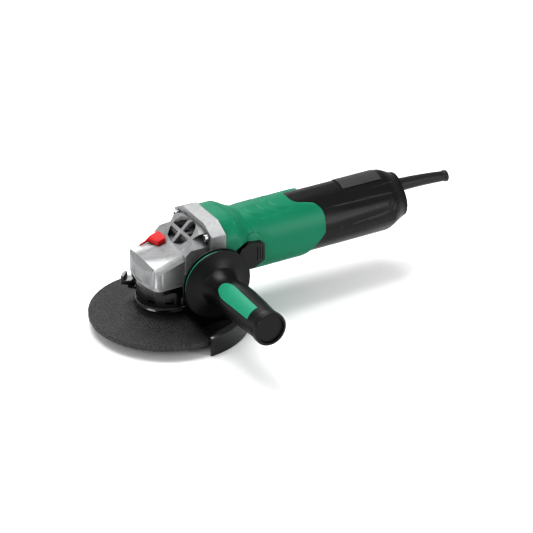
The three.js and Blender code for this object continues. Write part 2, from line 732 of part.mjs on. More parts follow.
function rearHousing() {
  let body = rearShell();
  const stations = [120, 200, 232, 247, rearEnd - 3.2];
  const inner = lofted(stations, (angle, x) => rearSection(angle, x) - rearWall, axisAt, 28);
  const slope = sidePrism(outline([[225, 20], [rearEnd + 4, 62.5], [rearEnd + 4, 0], [225, 0]]),
    -60, 60);
  body = body.subtract(inner.subtract(slope));
  body = body.subtract(sidePrism(jointOutline(touchGap), -60, 60));
  // recessed side panels, with two ribs left along their edges
  for (const side of [-1, 1]) {
    const panel = sidePrism(outline([[174, 64], [178, 74.5], [243, 74.5], [240, 55],
      [176, 55]]), side > 0 ? rearRadius - 0.9 : -50,
    side > 0 ? 50 : -rearRadius + 0.9);
    body = body.subtract(panel);
  }
  const belly = motorAxisHeight - rearRadius;
  body = body.add(block(216, 228, -9, 9, belly - 0.6, belly + 2.2));
  // inner wall that carries the rear bearing
  const carrier = tube(rearRadius - rearWall - 0.3, 4.8, 166, 168.5, 28)
    .add(tube(14, 11.3, 156.5, 167, 18));
  const web = carrier.subtract(block(-29, 29, -30, 30, 160, 170)
    .intersect(tube(26, 16, 160, 170, 16).subtract(block(-4, 4, -30, 30, 150, 175))));
  body = body.add(alongX(web));
  body = body.subtract(block(130, 176, -25.4, -22.8, rodLow - 0.6, rodHigh + 0.6));
  // hole for the sleeve in the rear wall
  body = body.subtract(alongX(tube(sleeveRootRadius + touchGap, 0, rearEnd - 8, rearEnd + 6, 16),
    sleeveHeight));
  return body;
}

function cableSleeve() {
  const stations = [rearEnd - 10, rearEnd - 3.6, 262, 275, 288, 300, 311, 312, sleeveEnd];
  const drop = (x) => {
    const t = Math.max(0, x - rearEnd) / (sleeveEnd - rearEnd);
    return sleeveHeight - sleeveDroop * t * t;
  };
  const section = (angle, x) => {
    if (x < rearEnd - 5) return sleeveRootRadius + 1.3;
    const t = Math.max(0, x - rearEnd) / (sleeveEnd - rearEnd);
    const lip = x > 311.5 ? 0.7 : 0;
    return sleeveRootRadius + (sleeveTipRadius - sleeveRootRadius) * t + lip;
  };
  const outer = lofted(stations, section, drop, 20);
  const open = stations.map((x, i) => (i === 0 ? x - 1 : x)).map((x) => (
    x === sleeveEnd ? x + 1 : x));
  return outer.subtract(lofted(open, () => sleeveBore, drop, 16));
}

function cordClamp() {
  const body = block(236, 243, -14, 14, sleeveHeight - 12, sleeveHeight - 4.5);
  return body.add(block(238, 241, -14, -9, sleeveHeight - 5, sleeveHeight + 6))
    .add(block(238, 241, 9, 14, sleeveHeight - 5, sleeveHeight + 6));
}

function switchModule() {
  return block(174, 198, -20, 6, 44, 72).subtract(block(180, 192, -21, -15, 48, 68));
}

function electronicsModule() {
  return block(202, 230, -16, 16, 44, 66).subtract(block(205, 227, -13, 13, 62, 67));
}

function ratingPlate() {
  const shell = sidePrism(outline([[188, 80], [188, 100], [232, 100], [232, 80]]), -11, 11);
  const grown = lofted([186, 200, 234], (angle, x) => rearSection(angle, x) + 0.7, axisAt, 32);
  const bare = lofted([185, 200, 235], (angle, x) => rearSection(angle, x) + 0.3, axisAt, 32);
  return grown.subtract(bare).intersect(shell);
}

// ---- guard -------------------------------------------------------------------------

const leverAngle = 137;        // degrees from +X towards +Y
const leverBase = 29;          // underside of the lever, over the collar's ear

function guardShell() {
  const inner = neckRadius + 0.4;
  const collar = inner + collarWall;
  let ring = turned([[inner, collarBottom - 1], [collar + 2.6, collarBottom - 1],
    [collar + 2.6, collarBottom + 0.4], [collar + 0.8, collarBottom + 1.4],
    [collar, collarBottom + 3], [collar, collarTop], [inner, collarTop],
    [inner, collarBottom - 1]], 48);
  const plate = turned([[inner, guardPlateTop - guardWall],
    [guardOuter - 5, guardPlateTop - guardWall],
    [guardOuter - guardWall - 0.8, guardPlateTop - 4.5],
    [guardOuter - guardWall, guardPlateTop - 7], [guardOuter - guardWall, guardSkirtBottom],
    [guardOuter, guardSkirtBottom], [guardOuter, guardPlateTop - 6],
    [guardOuter - 1.2, guardPlateTop - 2.5], [guardOuter - 4, guardPlateTop],
    [collar + 5, guardPlateTop], [collar + 2.2, collarBottom], [inner, collarBottom],
    [inner, guardPlateTop - guardWall]], 64);
  const far = guardOuter * 2;
  const reach = new THREE.Shape();
  reach.moveTo(4, 0);
  reach.lineTo(far * Math.cos(guardHalfAngle), -far * Math.sin(guardHalfAngle));
  reach.lineTo(far, -far);
  reach.lineTo(far, far);
  reach.lineTo(far * Math.cos(guardHalfAngle), far * Math.sin(guardHalfAngle));
  ring = ring.add(plate.intersect(planPrism(reach, -20, 30)));
  for (const angle of [-147, -112, 168, 92, 20]) {
    const slot = block(inner - 2, collar + 1, -3.6, 3.6, 25.5, 27.8).rotate(0, 0, angle);
    ring = ring.subtract(slot);
  }
  const ear = planPrism(outline([[inner - 1, -7], [collar + 7, -5.5], [collar + 8.2, 0],
    [collar + 7, 5.5], [inner - 1, 7]]), leverBase - 2.9, leverBase - touchGap)
    .subtract(tube(inner + 0.2, 0, 20, 40, 48));
  return ring.add(ear.rotate(0, 0, leverAngle));
}

function guardLever() {
  const root = neckRadius + 4.3;
  const arm = planPrism(outline([[root, -4.5], [root + 5, -6], [root + 11.4, -6],
    [root + 12, 0], [root + 11.4, 6], [root + 5, 6], [root, 4.5]]), leverBase, leverBase + 4.6);
  const tab = planPrism(outline([[root + 8.2, -6], [root + 11.4, -6], [root + 12, 0],
    [root + 11.4, 6], [root + 8.2, 6]]), leverBase + 1, leverBase + 8.6);
  return arm.add(tab).rotate(0, 0, leverAngle);
}

// ---- side handle -------------------------------------------------------------------

function handleStud() {
  return alongMinusY(tube(studRadius, 0, bossFace - 6.5, handleFlangeEnd + 10, 20), handleX,
    handleHeight);
}

function handlePlate() {
  const bore = studRadius + touchGap;
  return alongMinusY(turned([[bore, bossFace + touchGap], [11, bossFace + touchGap],
    [14, handlePlateStart - 4], [handleDiscRadius - 1, handlePlateStart],
    [handleDiscRadius, handlePlateStart + 1.5], [handleDiscRadius, damperStart - touchGap],
    [bore, damperStart - touchGap], [bore, bossFace + touchGap]], 32), handleX, handleHeight);
}

function handleDamper() {
  const bore = studRadius + touchGap;
  return alongMinusY(tube(handleDiscRadius - 1.6, bore, damperStart,
    handleFlangeStart - touchGap, 32), handleX, handleHeight);
}

/** Grip radius at a distance from the motor's middle plane. */
const gripProfile = [[25, 57], [19, 60], [15.6, 66], [14.9, 75], [15.8, 83], [17, 92],
  [17.3, 105], [16.6, 122], [15.3, 143], [16.2, 146.5], [16.4, 150], [16.2, gripEnd - 0.8],
  [15.6, gripEnd]];

function handleBody() {
  const bore = studRadius + touchGap;
  return alongMinusY(turned([[bore, handleFlangeStart], [handleDiscRadius - 1,
    handleFlangeStart], [handleDiscRadius, handleFlangeStart + 1], [handleDiscRadius - 0.3,
    handleFlangeEnd - 0.5], [handleDiscRadius - 4, handleFlangeEnd], ...gripProfile,
  [13.6, gripEnd], [13, gripEnd - 2], [0, gripEnd - 2], [0, handleFlangeEnd + 11],
  [bore, handleFlangeEnd + 11], [bore, handleFlangeStart]], 32), handleX, handleHeight);
}

/** Plan of a soft inlay: rounded towards the flange and square at its outer end. */
function inlayPlan(grow) {
  const shape = new THREE.Shape();
  shape.moveTo(-4 - grow, 78.5 - grow);
  shape.quadraticCurveTo(-8.2 - grow, 84, -8.4 - grow, 92);
  shape.lineTo(-7.2 - grow, 136 + grow);
  shape.lineTo(7.2 + grow, 136 + grow);
  shape.lineTo(8.4 + grow, 92);
  shape.quadraticCurveTo(8.2 + grow, 84, 4 + grow, 78.5 - grow);
  shape.quadraticCurveTo(0, 76.5 - grow, -4 - grow, 78.5 - grow);
  return shape;
}

function gripRod(extra) {
  const rod = gripProfile.map(([r, d]) => [r + extra, d]);
  return turned([[0, 57], ...rod, [0, gripEnd]], 32);
}

/** Cuts an inlay's place round the grip's own axis; spin is its angle about that axis. */
function inlayColumn(grow, spin) {
  const column = planPrism(inlayPlan(grow), 4, 40).rotate(90, 0, 0);
  return column.rotate(0, 0, spin);
}

function handleInlay(spin) {
  const skin = gripRod(0.25).subtract(gripRod(-1.6));
  return alongMinusY(skin.intersect(inlayColumn(0, spin)), handleX, handleHeight);
}

function handlePocket(spin) {
  const skin = gripRod(3).subtract(gripRod(-1.9));
  return alongMinusY(skin.intersect(inlayColumn(touchGap, spin)), handleX, handleHeight);
}

// ---- assembly ----------------------------------------------------------------------

add('gear_housing', gearHousing(), castAluminium());
add('bearing_cover', bearingCover(), blackSteel());
coverScrewPlaces.forEach(([x, y], i) => {
  add(`cover_screw_${i + 1}`, coverScrew(), brightSteel()).position.set(x, y, 0);
});
headScrewPlaces.forEach(([y, z], i) => {
  const screw = add(`head_screw_${i + 1}`, headScrew(), brightSteel());
  screw.rotation.set(0, Math.PI / 2, 0);
  screw.position.set(0, y, z);
});
add('lock_slide', lockSlide(), redPlastic());
add('lock_pin', lockPin(), brightSteel());
const spring = add('lock_spring', coilSpring(2.75, 0.35, 58, 64.5, 4), brightSteel());
spring.position.set(pinX, pinY, 0);

add('spindle', spindle(), brightSteel());
add('inner_flange', innerFlange(), brightSteel());
add('grinding_disc', grindingDisc(), grit());
add('clamping_nut', clampingNut(), brightSteel());
add('crown_gear', crownGear(), brightSteel());
add('needle_bush', tube(7.3, 4.7 + touchGap, 60.6, 67, 16), brightSteel());
const spindleRings = bearingRings(7.5 + touchGap, 17.5, 25, 36);
add('spindle_bearing_outer', spindleRings.outer, brightSteel());
add('spindle_bearing_inner', spindleRings.inner, brightSteel());
add('spindle_bearing_cage', spindleRings.cage, brightSteel());

add('armature_shaft', armatureShaft(), brightSteel());
add('armature_core', armatureCore(), lamination());
add('winding_front', windingEnd(71, stackStart - touchGap), copper());
add('winding_rear', windingEnd(stackEnd + touchGap, 134), copper());
add('commutator', commutator(), copper());
add('fan', fan(), blackPlastic());
add('pinion_gear', pinionGear(), brightSteel());
const frontRings = bearingRings(shaftRadius + touchGap, 16, 31, 40);
add('front_bearing_outer', alongX(frontRings.outer), brightSteel());
add('front_bearing_inner', alongX(frontRings.inner), brightSteel());
add('front_bearing_cage', alongX(frontRings.cage), brightSteel());
const rearRings = bearingRings(3.9 + touchGap, 11, 157, 164);
add('rear_bearing_outer', alongX(rearRings.outer), brightSteel());
add('rear_bearing_inner', alongX(rearRings.inner), brightSteel());
add('rear_bearing_cage', alongX(rearRings.cage), brightSteel());

add('motor_housing', motorHousing(), greenPlastic());
add('air_baffle', airBaffle(), blackPlastic());
add('stator_core', statorCore(), lamination());
add('field_coil_upper', fieldCoil(1), copper());
add('field_coil_lower', fieldCoil(-1), copper());
for (const [side, name] of [[1, 'right'], [-1, 'left']]) {
  add(`brush_holder_${name}`, brushHolder(side), brightSteel());
  add(`carbon_brush_${name}`, carbonBrush(side), carbon());
}
add('switch_slider', switchSlider(), blackPlastic());
add('switch_rod', switchRod(), blackPlastic());

add('rear_housing', rearHousing(), blackPlastic());
add('switch_module', switchModule(), blackPlastic());
add('electronics_module', electronicsModule(), resin());
add('cable_sleeve', cableSleeve(), blackRubber());
add('cord_clamp', cordClamp(), blackPlastic());
add('rating_plate', ratingPlate(), blackPlastic());

add('guard_shell', guardShell(), blackSteel());
add('guard_lever', guardLever(), blackSteel());

add('handle_stud', handleStud(), brightSteel());
add('handle_plate', handlePlate(), blackPlastic());
add('handle_damper', handleDamper(), greenPlastic());
const inlaySpins = { upper: 40, lower: 220 };
const pockets = Object.values(inlaySpins).map(handlePocket);
const grip = pockets.reduce((body, pocket) => body.subtract(pocket), handleBody());
add('handle_body', grip, blackPlastic());
for (const [name, spin] of Object.entries(inlaySpins)) {
  add(`handle_inlay_${name}`, handleInlay(spin), greenPlastic());
}

export default model;
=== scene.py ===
import json
import math
import bmesh
import bpy
from mathutils import Matrix, Vector
from mathutils.noise import noise


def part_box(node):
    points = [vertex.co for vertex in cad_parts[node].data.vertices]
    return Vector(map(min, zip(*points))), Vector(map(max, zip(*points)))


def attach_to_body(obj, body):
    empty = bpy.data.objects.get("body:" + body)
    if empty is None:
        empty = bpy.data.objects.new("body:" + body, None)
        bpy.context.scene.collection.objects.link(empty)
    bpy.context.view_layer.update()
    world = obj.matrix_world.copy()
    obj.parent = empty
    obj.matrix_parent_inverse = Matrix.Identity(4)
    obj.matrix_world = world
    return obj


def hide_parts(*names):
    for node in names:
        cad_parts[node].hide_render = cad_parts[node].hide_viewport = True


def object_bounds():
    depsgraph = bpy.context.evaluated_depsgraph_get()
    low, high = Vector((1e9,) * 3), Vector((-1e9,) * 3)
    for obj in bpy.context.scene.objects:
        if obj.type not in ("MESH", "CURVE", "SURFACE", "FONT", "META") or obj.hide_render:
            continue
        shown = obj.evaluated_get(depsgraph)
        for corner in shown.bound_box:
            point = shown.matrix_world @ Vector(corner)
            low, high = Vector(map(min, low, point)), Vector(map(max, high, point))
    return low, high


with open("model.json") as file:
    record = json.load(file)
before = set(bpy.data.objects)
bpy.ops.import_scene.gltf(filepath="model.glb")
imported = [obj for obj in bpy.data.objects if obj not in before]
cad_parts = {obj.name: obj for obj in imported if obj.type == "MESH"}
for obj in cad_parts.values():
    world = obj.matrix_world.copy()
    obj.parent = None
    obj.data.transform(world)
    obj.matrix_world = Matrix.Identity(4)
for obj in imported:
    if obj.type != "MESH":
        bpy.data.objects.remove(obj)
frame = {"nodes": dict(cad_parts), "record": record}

cad_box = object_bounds()
nodes = frame["nodes"]
body_of_node = {}
for body_name, members in frame["record"]["behaviour"]["bodies"].items():
    for member in members:
        body_of_node[member] = body_name


# ---- Camera, floor and light -------------------------------------------------------
# A long-lens view from the front left and above, over a plain pale floor.
# Soft light comes from above, with a strip at the side and a low one behind.

def aim_camera(azimuth, elevation, target, distance, lens):
    """A camera that looks at target from an azimuth and elevation in degrees."""
    a = math.radians(azimuth)
    e = math.radians(elevation)
    back = Vector((math.sin(a) * math.cos(e), -math.cos(a) * math.cos(e), math.sin(e)))
    data = bpy.data.cameras.new("camera")
    data.lens = lens
    data.sensor_width = 36
    data.clip_end = 20
    camera = bpy.data.objects.new("camera", data)
    camera.location = target + back * distance
    camera.rotation_euler = back.to_track_quat("Z", "Y").to_euler()
    bpy.context.collection.objects.link(camera)
    bpy.context.scene.camera = camera


aim_camera(-29.8, 28.4, Vector((0.0918, -0.0311, 0.0403)), 2.5, 177.3)


def make_floor():
    """A wide pale sheet just under the lowest edge of the guard."""
    mesh = bpy.data.meshes.new("floor")
    reach = 30.0
    height = cad_box[0][2] - 0.0005
    corners = [(-reach, -reach, height), (reach, -reach, height),
               (reach, reach, height), (-reach, reach, height)]
    mesh.from_pydata(corners, [], [(0, 1, 2, 3)])
    floor = bpy.data.objects.new("floor", mesh)
    bpy.context.collection.objects.link(floor)
    material = bpy.data.materials.new("floor_paper")
    material.use_nodes = True
    shader = material.node_tree.nodes["Principled BSDF"]
    shader.inputs["Base Color"].default_value = (0.93, 0.93, 0.93, 1)
    shader.inputs["Roughness"].default_value = 0.9
    mesh.materials.append(material)


make_floor()


def softbox(name, place, size, power, target=Vector((0.1, 0, 0.04))):
    """A rectangular area lamp that faces the target."""
    data = bpy.data.lights.new(name, "AREA")
    data.shape = "RECTANGLE"
    data.size, data.size_y = size
    data.energy = power
    lamp = bpy.data.objects.new(name, data)
    lamp.location = place
    away = Vector(place) - target
    lamp.rotation_euler = away.to_track_quat("Z", "Y").to_euler()
    bpy.context.collection.objects.link(lamp)


softbox("light_top", (0.0, 0.35, 1.3), (1.0, 0.7), 12)
softbox("light_front_left", (-1.1, -0.7, 0.75), (0.5, 0.6), 4.5)
softbox("light_right_strip", (0.75, -1.15, 0.55), (0.16, 0.9), 5)
softbox("light_back_sheen", (0.35, 1.25, 0.7), (0.7, 0.25), 2)

world = bpy.data.worlds.new("studio")
world.use_nodes = True
world.node_tree.nodes["Background"].inputs["Color"].default_value = (1, 1, 1, 1)
world.node_tree.nodes["Background"].inputs["Strength"].default_value = 0.47
bpy.context.scene.world = world
bpy.context.scene.view_settings.view_transform = "Standard"
bpy.context.scene.view_settings.look = "High Contrast"


# ---- Gear housing ------------------------------------------------------------------
# Die-cast aluminium, shot blasted all over, so it is pale and slightly granular.
# Its edges keep nearly the CAD's sharpness, and are rubbed brighter than the faces.

def new_group(name, inputs, outputs):
    """An empty shader node group with the given float or colour sockets."""
    group = bpy.data.node_groups.new(name, "ShaderNodeTree")
    for label, kind, value in inputs:
        socket = group.interface.new_socket(label, in_out="INPUT", socket_type=kind)
        socket.default_value = value
    for label, kind in outputs:
        group.interface.new_socket(label, in_out="OUTPUT", socket_type=kind)
    return group, group.nodes.new("NodeGroupInput"), group.nodes.new("NodeGroupOutput")


def math_node(tree, operation, first, second=0.5):
    """A Math node; each side is a socket or a number."""
    node = tree.nodes.new("ShaderNodeMath")
    node.operation = operation
    for place, value in enumerate((first, second)):
        if isinstance(value, (int, float)):
            node.inputs[place].default_value = value
        else:
            tree.links.new(value, node.inputs[place])
    return node.outputs[0]


def grain_group():
    """Fine moulded or blasted grain: a height for the bump and a slow mottle."""
    group, start, end = new_group(
        "fine_grain",
        [("Scale", "NodeSocketFloat", 900.0), ("Mottle Scale", "NodeSocketFloat", 60.0)],
        [("Height", "NodeSocketFloat"), ("Mottle", "NodeSocketFloat")])
    place = group.nodes.new("ShaderNodeTexCoord")
    fine = group.nodes.new("ShaderNodeTexNoise")
    fine.inputs["Detail"].default_value = 3
    slow = group.nodes.new("ShaderNodeTexNoise")
    slow.inputs["Detail"].default_value = 4
    for texture, label in ((fine, "Scale"), (slow, "Mottle Scale")):
        group.links.new(place.outputs["Object"], texture.inputs["Vector"])
        group.links.new(start.outputs[label], texture.inputs["Scale"])
    group.links.new(fine.outputs["Fac"], end.inputs["Height"])
    group.links.new(slow.outputs["Fac"], end.inputs["Mottle"])
    return group


def edge_group():
    """Edge wear: a mask that is 1 on outer edges and 0 on faces and hollows."""
    group, start, end = new_group(
        "edge_wear",
        [("Sharpness", "NodeSocketFloat", 12.0), ("Breakup", "NodeSocketFloat", 0.35)],
        [("Mask", "NodeSocketFloat")])
    geometry = group.nodes.new("ShaderNodeNewGeometry")
    place = group.nodes.new("ShaderNodeTexCoord")
    patches = group.nodes.new("ShaderNodeTexNoise")
    patches.inputs["Scale"].default_value = 220
    group.links.new(place.outputs["Object"], patches.inputs["Vector"])
    proud = math_node(group, "SUBTRACT", geometry.outputs["Pointiness"], 0.51)
    raised = math_node(group, "MULTIPLY", proud, start.outputs["Sharpness"])
    rough = math_node(group, "MULTIPLY", patches.outputs["Fac"], start.outputs["Breakup"])
    mask = math_node(group, "SUBTRACT", raised, rough)
    clamp = group.nodes.new("ShaderNodeClamp")
    group.links.new(mask, clamp.inputs["Value"])
    group.links.new(clamp.outputs["Result"], end.inputs["Mask"])
    return group


def hollow_shade_group():
    """Painted shade in hollows: a mask that is 1 deep in a gap and 0 in the open."""
    group, start, end = new_group(
        "hollow_painted_shade", [("Reach", "NodeSocketFloat", 0.012)],
        [("Mask", "NodeSocketFloat")])
    open_sky = group.nodes.new("ShaderNodeAmbientOcclusion")
    open_sky.samples = 6
    group.links.new(start.outputs["Reach"], open_sky.inputs["Distance"])
    shut = math_node(group, "SUBTRACT", 1.0, open_sky.outputs["AO"])
    deep = math_node(group, "MULTIPLY", shut, 1.5)
    clamp = group.nodes.new("ShaderNodeClamp")
    group.links.new(math_node(group, "SUBTRACT", deep, 0.35), clamp.inputs["Value"])
    group.links.new(clamp.outputs["Result"], end.inputs["Mask"])
    return group


fine_grain = grain_group()
edge_wear = edge_group()
hollow_painted_shade = hollow_shade_group()


def place_group(tree, group, **values):
    """Places a node group in a material with its own values."""
    node = tree.nodes.new("ShaderNodeGroup")
    node.node_tree = group
    for label, value in values.items():
        node.inputs[label.replace("_", " ")].default_value = value
    return node


def blended(tree, factor, low, high):
    """A colour that runs from low to high with a factor socket."""
    mix = tree.nodes.new("ShaderNodeMix")
    mix.data_type = "RGBA"
    tree.links.new(factor, mix.inputs["Factor"])
    for name, value in (("A", low), ("B", high)):
        socket = [s for s in mix.inputs if s.name == name and s.type == "RGBA"][0]
        if isinstance(value, tuple):
            socket.default_value = (*value, 1)
        else:
            tree.links.new(value, socket)
    return [s for s in mix.outputs if s.type == "RGBA"][0]


def surface(name, low, high, worn, roughness, bump, grain, mottle=60.0, wear=12.0,
            metallic=0.0, coat=0.0, specular=0.5):
    """A solid finish: mottled colour, painted shade in hollows, worn edges, varied
    roughness and fine grain.
    """
    material = bpy.data.materials.new(name)
    material.use_nodes = True
    tree = material.node_tree
    shader = tree.nodes["Principled BSDF"]
    texture = place_group(tree, fine_grain, Scale=grain, Mottle_Scale=mottle)
    edges = place_group(tree, edge_wear, Sharpness=wear)
    base = blended(tree, texture.outputs["Mottle"], low, high)
    # Gaps and hollows are darkened by an occlusion mask: this is painted shade.
    painted_shade_mask = place_group(tree, hollow_painted_shade, Reach=0.012)
    shade_colour = tuple(value * 0.12 for value in low)
    base_with_shade = blended(tree, painted_shade_mask.outputs["Mask"], base, shade_colour)
    colour = blended(tree, edges.outputs["Mask"], base_with_shade, worn)
    tree.links.new(colour, shader.inputs["Base Color"])
    spread = tree.nodes.new("ShaderNodeMapRange")
    spread.inputs["To Min"].default_value = roughness[0]
    spread.inputs["To Max"].default_value = roughness[1]
    tree.links.new(texture.outputs["Mottle"], spread.inputs["Value"])
    tree.links.new(spread.outputs["Result"], shader.inputs["Roughness"])
    shader.inputs["Metallic"].default_value = metallic
    shader.inputs["Coat Weight"].default_value = coat
    shader.inputs["Coat Roughness"].default_value = 0.08
    shader.inputs["Specular IOR Level"].default_value = specular
    relief = tree.nodes.new("ShaderNodeBump")
    relief.inputs["Strength"].default_value = bump
    relief.inputs["Distance"].default_value = 0.0002
    tree.links.new(texture.outputs["Height"], relief.inputs["Height"])
    tree.links.new(relief.outputs["Normal"], shader.inputs["Normal"])
    return material


def finish_mesh(piece, smooth_angle=38):
    """Smooth shading that keeps the edges sharper than the given angle."""
    mesh = piece.data
    mesh.polygons.foreach_set("use_smooth", [True] * len(mesh.polygons))
    mesh.set_sharp_from_angle(angle=math.radians(smooth_angle))
    mesh.update()


def slot_of(node):
    """The record's material slot of a CAD node."""
    parts = frame["record"]["subparts"]
    return next(part["material_slot"] for part in parts if part["node"] == node)


def attach(piece, node, material):
    """Gives a piece its finish and body, and lets it stand for its CAD node."""
    piece.data.materials.clear()
    piece.data.materials.append(material)
    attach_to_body(piece, body_of_node[node])
    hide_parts(node)
    return piece


def applied(piece):
    """Turns a piece's modifiers into plain mesh."""
    bpy.context.view_layer.update()
    seen = piece.evaluated_get(bpy.context.evaluated_depsgraph_get())
    mesh = bpy.data.meshes.new_from_object(seen)
    piece.modifiers.clear()
    piece.data = mesh


def merged_form(node):
    """A copy of a CAD node's mesh with its flat faces merged."""
    form = bmesh.new()
    form.from_mesh(nodes[node].data)
    bmesh.ops.remove_doubles(form, verts=form.verts, dist=1e-6)
    bmesh.ops.dissolve_limit(form, angle_limit=math.radians(1.0), verts=form.verts,
                             edges=form.edges)
    return form


def piece_from(form, name):
    """Links a new object made from a finished form, and frees the form."""
    mesh = bpy.data.meshes.new(name)
    form.to_mesh(mesh)
    form.free()
    piece = bpy.data.objects.new(name, mesh)
    bpy.context.collection.objects.link(piece)
    return piece


def carved(target, tool, operation):
    """Applies one boolean of a closed tool to a target, and removes the tool."""
    cut = target.modifiers.new("carving", "BOOLEAN")
    cut.operation = operation
    cut.solver = "MANIFOLD"
    cut.object = tool
    applied(target)
    bpy.data.objects.remove(tool)


def softened(node, width):
    """A copy of a CAD node with eased edges, in millimetres.

    The width is a limit. Short edges clamp it for the whole piece, and on a piece with
    many of them, such as the gear housing or the guard, almost nothing is eased.
    """
    form = merged_form(node)
    mesh = bpy.data.meshes.new(node + "_skin")
    form.to_mesh(mesh)
    form.free()
    piece = bpy.data.objects.new(mesh.name, mesh)
    bpy.context.collection.objects.link(piece)
    bevel = piece.modifiers.new("rounding", "BEVEL")
    bevel.width = width / 1000
    bevel.segments = 3
    bevel.limit_method = "ANGLE"
    bevel.angle_limit = math.radians(32)
    bevel.use_clamp_overlap = True
    applied(piece)
    finish_mesh(piece)
    even = piece.modifiers.new("even_faces", "WEIGHTED_NORMAL")
    even.keep_sharp = True
    applied(piece)
    return piece


def hull_form(points):
    """The closed hull round a list of points."""
    form = bmesh.new()
    for point in points:
        form.verts.new(point)
    bmesh.ops.convex_hull(form, input=form.verts)
    loose = [vertex for vertex in form.verts if not vertex.link_faces]
    bmesh.ops.delete(form, geom=loose, context="VERTS")
    bmesh.ops.recalc_face_normals(form, faces=form.faces)
    return form


def nose_rounding(piece, offset):
    """Trims the head's nose to its hull, with edges eased by at most offset millimetres.

    The hull's short edges clamp this too, so the nose keeps nearly the CAD's shape.
    """
    limit = 0.003
    form = hull_form([v.co for v in piece.data.vertices if v.co.x < 0.016])
    bmesh.ops.remove_doubles(form, verts=form.verts, dist=0.0004)
    bmesh.ops.dissolve_limit(form, angle_limit=math.radians(5), verts=form.verts,
                             edges=form.edges)
    chosen = []
    for edge in form.edges:
        turned = math.degrees(edge.calc_face_angle(0))
        front = min(end.co.x for end in edge.verts) < limit
        high = min(end.co.z for end in edge.verts) > 0.045
        if turned > 9 and front and high:
            chosen.append(edge)
    bmesh.ops.bevel(form, geom=chosen, offset=offset / 1000, segments=6, profile=0.5,
                    affect="EDGES", clamp_overlap=True)
    shell = hull_form([vertex.co.copy() for vertex in form.verts])
    form.free()
    block = bmesh.new()
    bmesh.ops.create_cube(block, size=1.0)
    low = Vector((-0.060, -0.060, 0.046))
    high = Vector((limit, 0.060, 0.110))
    for vertex in block.verts:
        vertex.co = Vector([low[k] if vertex.co[k] < 0 else high[k] for k in range(3)])
    cutter = piece_from(block, "nose_block")
    carved(cutter, piece_from(shell, "nose_hull"), "DIFFERENCE")
    carved(piece, cutter, "DIFFERENCE")
    finish_mesh(piece, 30)
    return piece


cast_alloy = surface("cast_alloy", (0.24, 0.243, 0.247), (0.37, 0.373, 0.377),
                     (0.62, 0.62, 0.62), (0.40, 0.55), 0.75, 1100.0, 320.0, 7.0,
                     metallic=0.55)
attach(nose_rounding(softened("gear_housing", 0.6), 3.5), "gear_housing", cast_alloy)


# ---- Fasteners, spindle and bearings -----------------------------------------------
# Turned and ground steel: zinc-plated screws, bright bearing rings, hard gears.
# The screw heads and the clamping nut show, the rest sits inside the head.

bright_steel = surface("bright_steel", (0.50, 0.51, 0.52), (0.66, 0.66, 0.67),
                       (0.85, 0.85, 0.85), (0.16, 0.30), 0.08, 2400.0, 90.0, 6.0,
                       metallic=1.0)
for node in nodes:
    if slot_of(node) != "bright_steel":
        continue
    if node.startswith(("head_screw", "cover_screw", "clamping", "spindle", "inner")):
        attach(softened(node, 0.3), node, bright_steel)
    else:
        nodes[node].data.materials.clear()
        nodes[node].data.materials.append(bright_steel)


def hex_socket_shades():
    """A dark hexagon in the face of each flange screw: painted shade for its key socket's
    hollow.
    """
    for number in range(1, 5):
        low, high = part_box(f"head_screw_{number}")
        centre = Vector(((low[0]), (low[1] + high[1]) / 2, (low[2] + high[2]) / 2))
        form = bmesh.new()
        bmesh.ops.create_cone(form, cap_ends=True, segments=6, radius1=0.0019,
                              radius2=0.0019, depth=0.0006)
        form.transform(Matrix.Translation(centre) @ Matrix.Rotation(math.pi / 2, 4, "Y"))
        mesh = bpy.data.meshes.new(f"head_screw_socket_shade_{number}")
        form.to_mesh(mesh)
        form.free()
        socket = bpy.data.objects.new(mesh.name, mesh)
        bpy.context.collection.objects.link(socket)
        mesh.materials.append(socket_painted_shade)
        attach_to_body(socket, "frame_body")


# Near black: painted shade standing for the hollow of each key socket.
socket_painted_shade = surface("socket_painted_shade", (0.01, 0.01, 0.01), (0.02, 0.02, 0.02),
                      (0.05, 0.05, 0.05), (0.6, 0.7), 0.1, 900.0)
hex_socket_shades()


# ---- Guard, lever and bearing cover ------------------------------------------------
# Pressed and drawn sheet steel with a glossy black powder coat.
# A clamp collar holds the guard to the neck of the cover, and a lever frees it.

black_coat = surface("black_coat", (0.004, 0.004, 0.0044), (0.007, 0.007, 0.0075),
                     (0.05, 0.05, 0.052), (0.16, 0.26), 0.12, 420.0, 30.0, 5.0,
                     coat=0.35, specular=0.4)
for node, width in (("guard_shell", 0.45), ("guard_lever", 0.6), ("bearing_cover", 0.4)):
    attach(softened(node, width), node, black_coat)


# ---- Grinding disc -----------------------------------------------------------------
# Dark grit and resin pressed between woven glass mats, moulded with a raised hub.
# The weave shows as a fine square grid, and the rim is slightly ragged.

